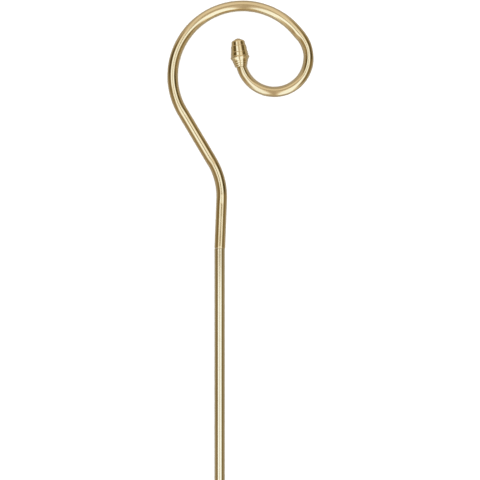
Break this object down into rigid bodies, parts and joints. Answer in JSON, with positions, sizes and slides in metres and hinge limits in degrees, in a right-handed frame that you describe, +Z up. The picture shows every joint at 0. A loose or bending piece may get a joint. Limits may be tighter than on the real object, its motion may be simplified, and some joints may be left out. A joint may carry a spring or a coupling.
{
  "type": "bishop crosier",
  "caption": "Ceremonial staff of polished gold-coloured tube, with a curled crook that ends in a turned bud, lying down at rest.",
  "frame": {"origin": "on the surface that the staff lies on, below the middle of its outline", "axes": "+Y along the pole towards the crook, +X to the side that the crook curls over to, +Z up"},
  "size_m": [0.3096, 1.8, 0.0403],
  "materials": {
    "warm_gold": "polished, with fine handling scratches",
    "pale_gold": "polished, paler than the crook, with fine handling scratches"
  },
  "bodies": {
    "root": {"crook": "warm_gold", "finial": "warm_gold", "pole": "pale_gold", "foot_cap": "pale_gold"}
  },
  "joints": []
}
